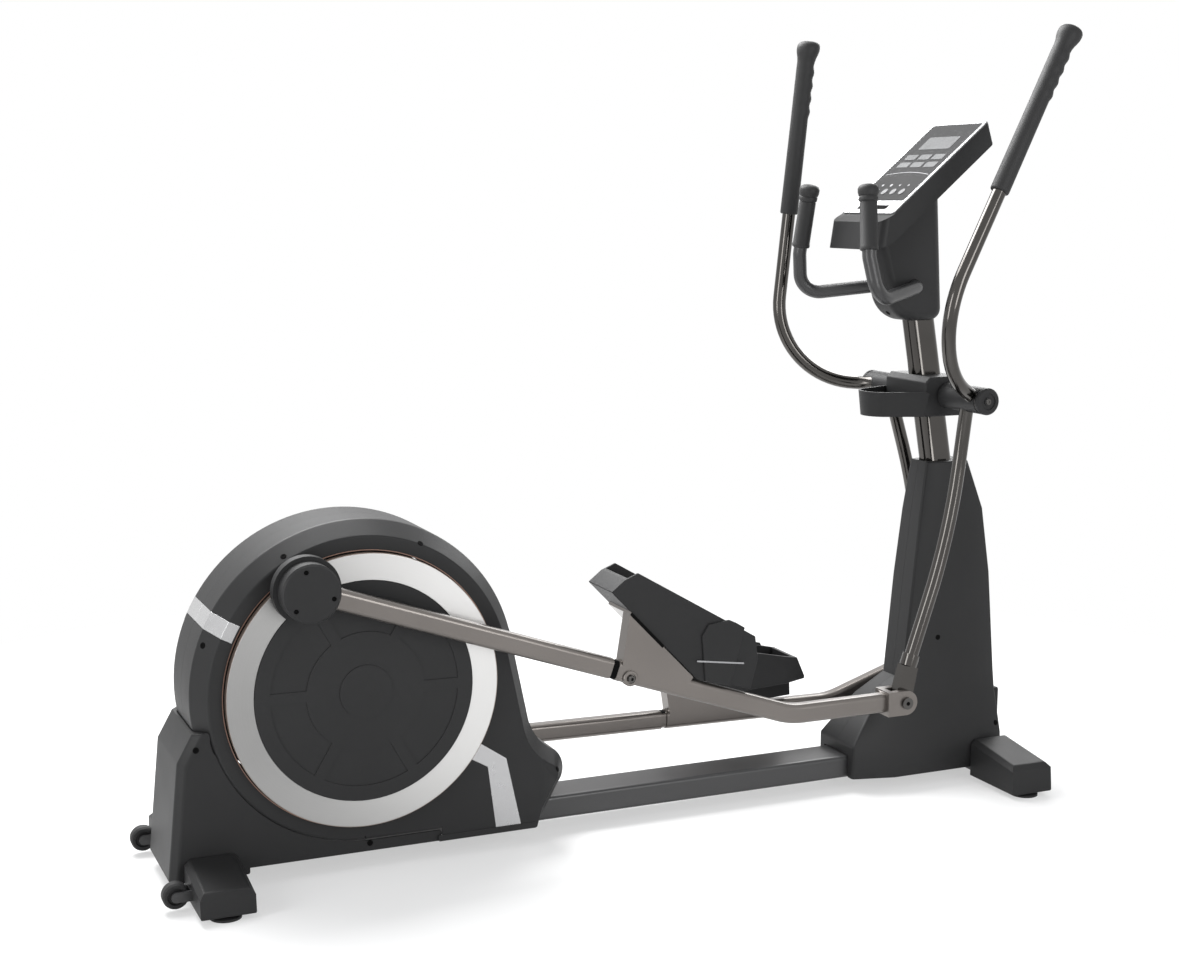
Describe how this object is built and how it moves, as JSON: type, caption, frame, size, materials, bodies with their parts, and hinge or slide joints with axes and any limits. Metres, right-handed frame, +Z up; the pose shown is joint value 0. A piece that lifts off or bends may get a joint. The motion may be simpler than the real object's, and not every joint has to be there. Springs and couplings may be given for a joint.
{
  "type": "elliptical trainer",
  "caption": "Rear-drive elliptical trainer with a drum-covered crank, hinged foot links with pedals, swinging handles, a console mast and a cup tray.",
  "frame": {"origin": "on the floor, in the middle of the length and the width", "axes": "+X forward to the console, +Y to the user's left, +Z up"},
  "size_m": [1.972, 0.609, 1.678],
  "materials": {
    "frame_paint": "satin black powder coat",
    "link_paint": "satin warm grey paint",
    "black_chrome": "dark polished nickel",
    "steel": "turned steel",
    "cast": "machined casting",
    "charcoal_plastic": "fine grain charcoal",
    "pedal_plastic": "fine grain charcoal",
    "console_plastic": "fine grain charcoal",
    "silver_trim": "silver lacquer",
    "rubber": "moulded black",
    "grip_foam": "matte black",
    "panel_gloss": "gloss black",
    "key_plastic": "grey"
  },
  "bodies": {
    "frame": {"brake_stator": "cast", "console_housing": "console_plastic", "console_panel": "panel_gloss", "console_post": "console_plastic", "console_trim": "silver_trim", "cover_trim_strips": "silver_trim", "crank_bearings": "steel", "crank_tower": "frame_paint", "cup_tray": "charcoal_plastic", "drive_belt": "rubber", "flywheel_axle": "steel", "flywheel_bracket": "frame_paint", "front_stabilizer": "frame_paint", "left_column_cover": "charcoal_plastic", "left_lower_cover": "charcoal_plastic", "left_upper_cover": "charcoal_plastic", "levelling_feet": "rubber", "main_beam": "frame_paint", "mast": "black_chrome", "pivot_axle": "steel", "rear_base_cover": "charcoal_plastic", "rear_stabilizer": "frame_paint", "right_column_cover": "charcoal_plastic", "right_lower_cover": "charcoal_plastic", "right_upper_cover": "charcoal_plastic", "stabilizer_end_caps": "charcoal_plastic", "static_grips": "grip_foam", "static_handlebar": "frame_paint", "wheel_forks": "frame_paint"},
    "crank": {"crank_axle": "steel", "crank_pulley": "charcoal_plastic", "right_crank_disc": "charcoal_plastic", "left_crank_disc": "charcoal_plastic", "crank_rings": "silver_trim", "crank_arms": "frame_paint"},
    "flywheel": {"flywheel": "cast"},
    "right_swing": {"right_swing_arm": "black_chrome", "right_swing_grip": "grip_foam", "right_pivot_cap": "charcoal_plastic"},
    "left_swing": {"left_swing_arm": "black_chrome", "left_swing_grip": "grip_foam", "left_pivot_cap": "charcoal_plastic"},
    "right_link": {"right_link_rear": "link_paint", "right_link_front": "link_paint", "right_hub_cover": "charcoal_plastic", "right_link_pin": "steel", "right_pedal_bracket": "link_paint", "right_pedal": "pedal_plastic"},
    "left_link": {"left_link_rear": "link_paint", "left_link_front": "link_paint", "left_hub_cover": "charcoal_plastic", "left_link_pin": "steel", "left_pedal_bracket": "link_paint", "left_pedal": "pedal_plastic"},
    "right_wheel": {"right_transport_wheel": "rubber"},
    "left_wheel": {"left_transport_wheel": "rubber"},
    "start_key": {"start_key": "key_plastic"},
    "stop_key": {"stop_key": "key_plastic"},
    "down_key": {"down_key": "key_plastic"},
    "up_key": {"up_key": "key_plastic"}
  },
  "joints": [
    {"name": "crank_turn", "type": "hinge", "parent": "frame", "child": "crank", "pos_m": [-0.576, 0, 0.373], "axis": [0, -1, 0], "continuous": true},
    {"name": "flywheel_turn", "type": "hinge", "parent": "frame", "child": "flywheel", "pos_m": [-0.386, 0, 0.196], "axis": [0, -1, 0], "continuous": true},
    {"name": "right_swing_pivot", "type": "hinge", "parent": "frame", "child": "right_swing", "pos_m": [0.78203, 0, 0.889], "axis": [0, -1, 0], "range_deg": [-7.5, 32]},
    {"name": "left_swing_pivot", "type": "hinge", "parent": "frame", "child": "left_swing", "pos_m": [0.78203, 0, 0.889], "axis": [0, -1, 0], "range_deg": [-32, 7.5]},
    {"name": "right_link_pivot", "type": "hinge", "parent": "right_swing", "child": "right_link", "pos_m": [0.62341, -0.168, 0.2329], "axis": [0, -1, 0], "range_deg": [-30.6, 7.3]},
    {"name": "left_link_pivot", "type": "hinge", "parent": "left_swing", "child": "left_link", "pos_m": [0.90977, 0.168, 0.2262], "axis": [0, -1, 0], "range_deg": [-7.3, 30.6]},
    {"name": "right_wheel_turn", "type": "hinge", "parent": "frame", "child": "right_wheel", "pos_m": [-0.961, -0.168, 0.032], "axis": [0, -1, 0], "continuous": true},
    {"name": "left_wheel_turn", "type": "hinge", "parent": "frame", "child": "left_wheel", "pos_m": [-0.961, 0.168, 0.032], "axis": [0, -1, 0], "continuous": true},
    {"name": "start_key_press", "type": "slide", "parent": "frame", "child": "start_key", "axis": [0.6428, 0, -0.766], "range_m": [0, 0.001], "stiffness_N_per_m": 400},
    {"name": "stop_key_press", "type": "slide", "parent": "frame", "child": "stop_key", "axis": [0.6428, 0, -0.766], "range_m": [0, 0.001], "stiffness_N_per_m": 400},
    {"name": "down_key_press", "type": "slide", "parent": "frame", "child": "down_key", "axis": [0.6428, 0, -0.766], "range_m": [0, 0.001], "stiffness_N_per_m": 400},
    {"name": "up_key_press", "type": "slide", "parent": "frame", "child": "up_key", "axis": [0.6428, 0, -0.766], "range_m": [0, 0.001], "stiffness_N_per_m": 400}
  ],
  "couplings": [
    {"joint": "flywheel_turn", "follows": "crank_turn", "ratio": 6.25},
    {"joint": "left_swing_pivot", "follows": "right_swing_pivot", "ratio": -1},
    {"joint": "right_link_pivot", "follows": "right_swing_pivot", "ratio": -0.95},
    {"joint": "left_link_pivot", "follows": "right_swing_pivot", "ratio": 0.95}
  ]
}
